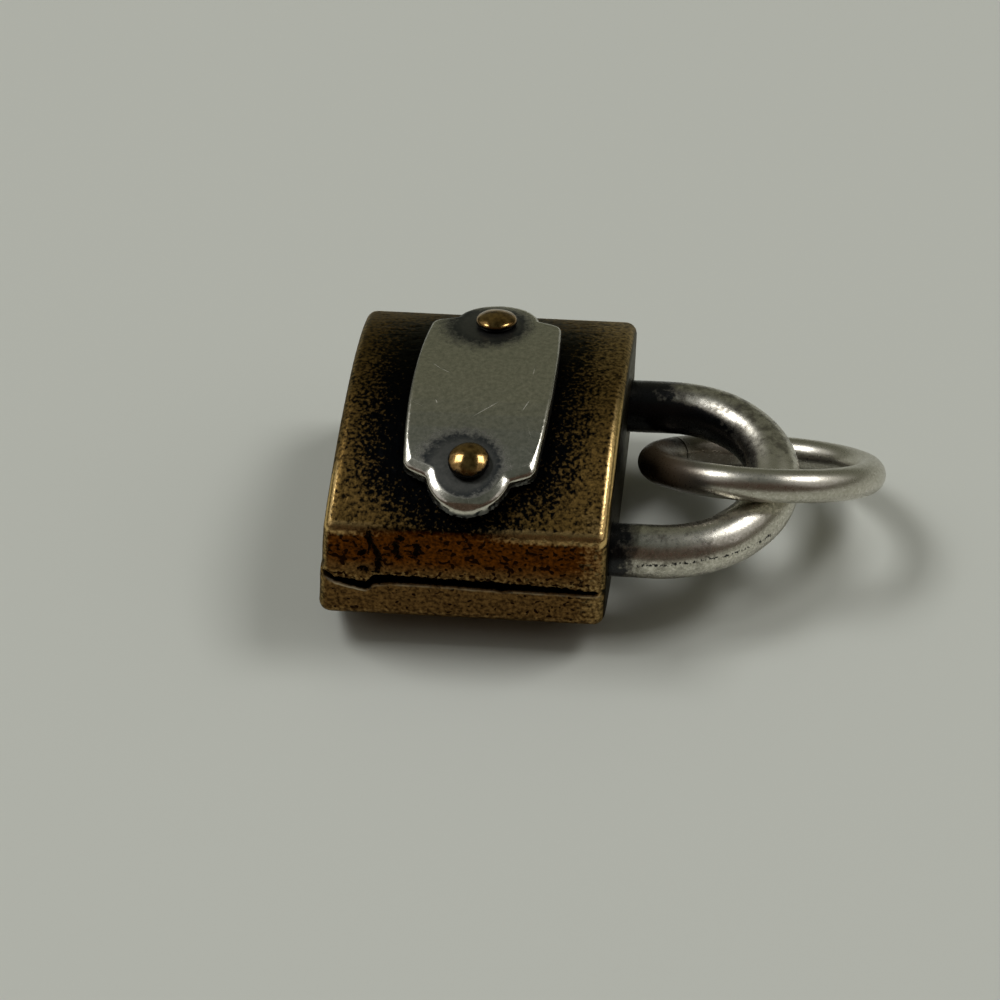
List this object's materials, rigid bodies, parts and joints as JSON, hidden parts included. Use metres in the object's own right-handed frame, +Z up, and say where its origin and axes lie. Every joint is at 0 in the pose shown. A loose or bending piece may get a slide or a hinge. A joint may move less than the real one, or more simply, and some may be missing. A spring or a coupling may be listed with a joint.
{
  "type": "padlock pendant",
  "caption": "Small padlock charm lying on its back: cushion-shaped cast body, riveted plaque across the front, round-wire U shackle and a jump ring threaded on it.",
  "frame": {"origin": "on the flat strip of the back, under the middle of the body, on the surface that the pendant lies on", "axes": "+Z up from that surface, +X from the body along the shackle, +Y across the body"},
  "size_m": [0.0209, 0.0128, 0.0082],
  "materials": {
    "cast_brass": "cast, darkened in the recesses and rubbed bright on the edges",
    "plaque_silver": "satin silver with fine scratches and dark rings round the rivets",
    "rivet_brass": "polished by wear",
    "shackle_silver": "brushed silver, blackened next to the body",
    "ring_silver": "satin silver wire"
  },
  "bodies": {
    "root": {"body": "cast_brass", "plaque": "plaque_silver", "near_rivet": "rivet_brass", "far_rivet": "rivet_brass", "shackle": "shackle_silver", "jump_ring": "ring_silver"}
  },
  "joints": []
}
